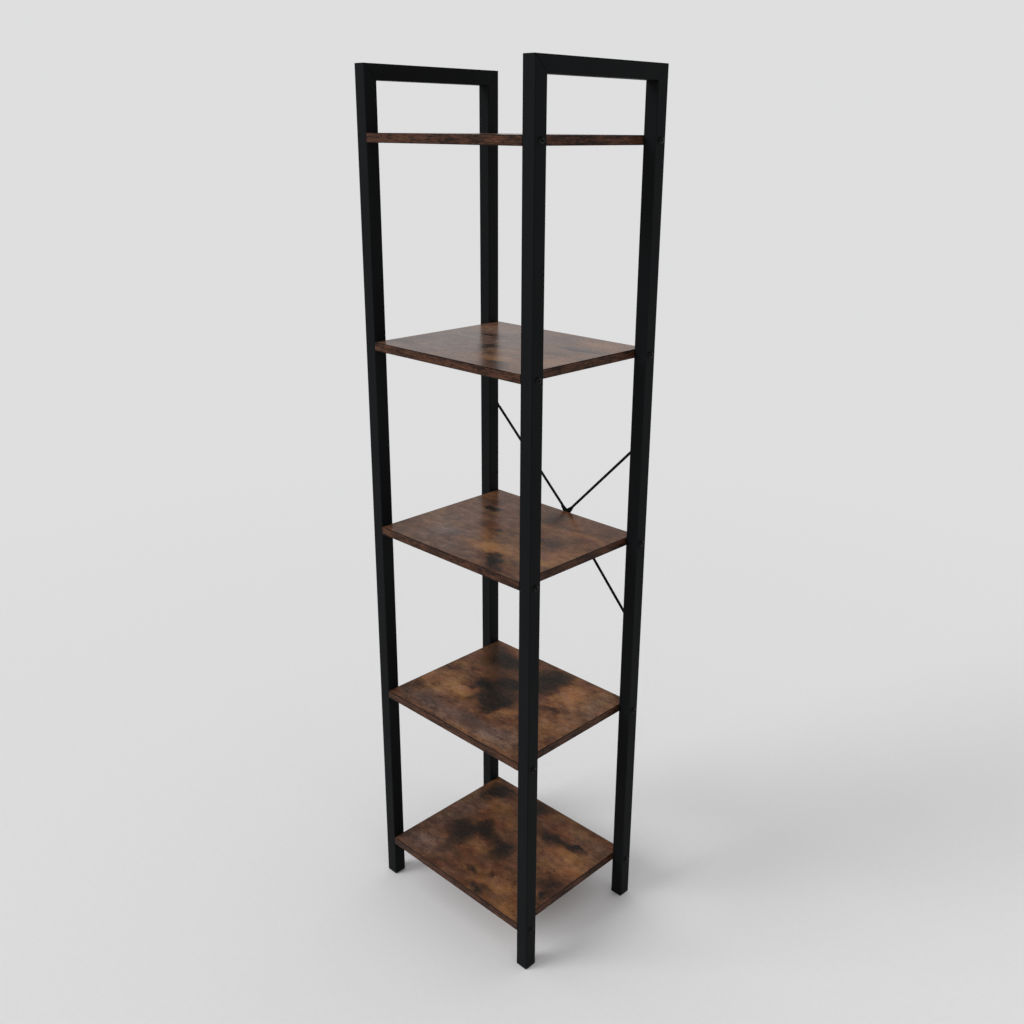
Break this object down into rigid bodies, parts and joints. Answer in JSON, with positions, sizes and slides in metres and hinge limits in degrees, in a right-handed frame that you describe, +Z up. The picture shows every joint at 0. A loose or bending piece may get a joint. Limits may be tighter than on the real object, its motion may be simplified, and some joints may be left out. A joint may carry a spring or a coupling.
{
  "type": "bookcase",
  "caption": "Narrow free-standing industrial bookcase: black square-tube side frames carry rustic brown laminated boards, with a crossed rod brace behind.",
  "frame": {"origin": "on the floor, midway between the side frames and between the front and rear faces of the posts", "axes": "+X to the right along the front, +Y to the back, +Z up"},
  "size_m": [0.4066, 0.3098, 1.56],
  "materials": {
    "frame_black": "satin",
    "board_rustic": "satin laminate",
    "edge_band": "satin",
    "bolt_black": "satin",
    "brace_black": "satin",
    "insert_zinc": "zinc plated",
    "plug_plastic": "matte"
  },
  "bodies": {
    "root": {"left_front_post": "frame_black", "left_front_foot_plug": "plug_plastic", "left_rear_post": "frame_black", "left_rear_foot_plug": "plug_plastic", "left_top_rail": "frame_black", "right_front_post": "frame_black", "right_front_foot_plug": "plug_plastic", "right_rear_post": "frame_black", "right_rear_foot_plug": "plug_plastic", "right_top_rail": "frame_black", "bottom_shelf_board": "board_rustic", "bottom_shelf_edge_bands": "edge_band", "bottom_shelf_inserts": "insert_zinc", "bottom_shelf_bolts": "bolt_black", "lower_shelf_board": "board_rustic", "lower_shelf_edge_bands": "edge_band", "lower_shelf_inserts": "insert_zinc", "lower_shelf_bolts": "bolt_black", "middle_shelf_board": "board_rustic", "middle_shelf_edge_bands": "edge_band", "middle_shelf_inserts": "insert_zinc", "middle_shelf_bolts": "bolt_black", "upper_shelf_board": "board_rustic", "upper_shelf_edge_bands": "edge_band", "upper_shelf_inserts": "insert_zinc", "upper_shelf_bolts": "bolt_black", "top_shelf_board": "board_rustic", "top_shelf_edge_bands": "edge_band", "top_shelf_inserts": "insert_zinc", "top_shelf_bolts": "bolt_black", "falling_brace_rod": "brace_black", "rising_brace_rod": "brace_black", "brace_centre_screw": "bolt_black", "brace_centre_nut": "bolt_black", "brace_end_screws": "bolt_black", "brace_rivet_nuts": "insert_zinc"}
  },
  "joints": []
}
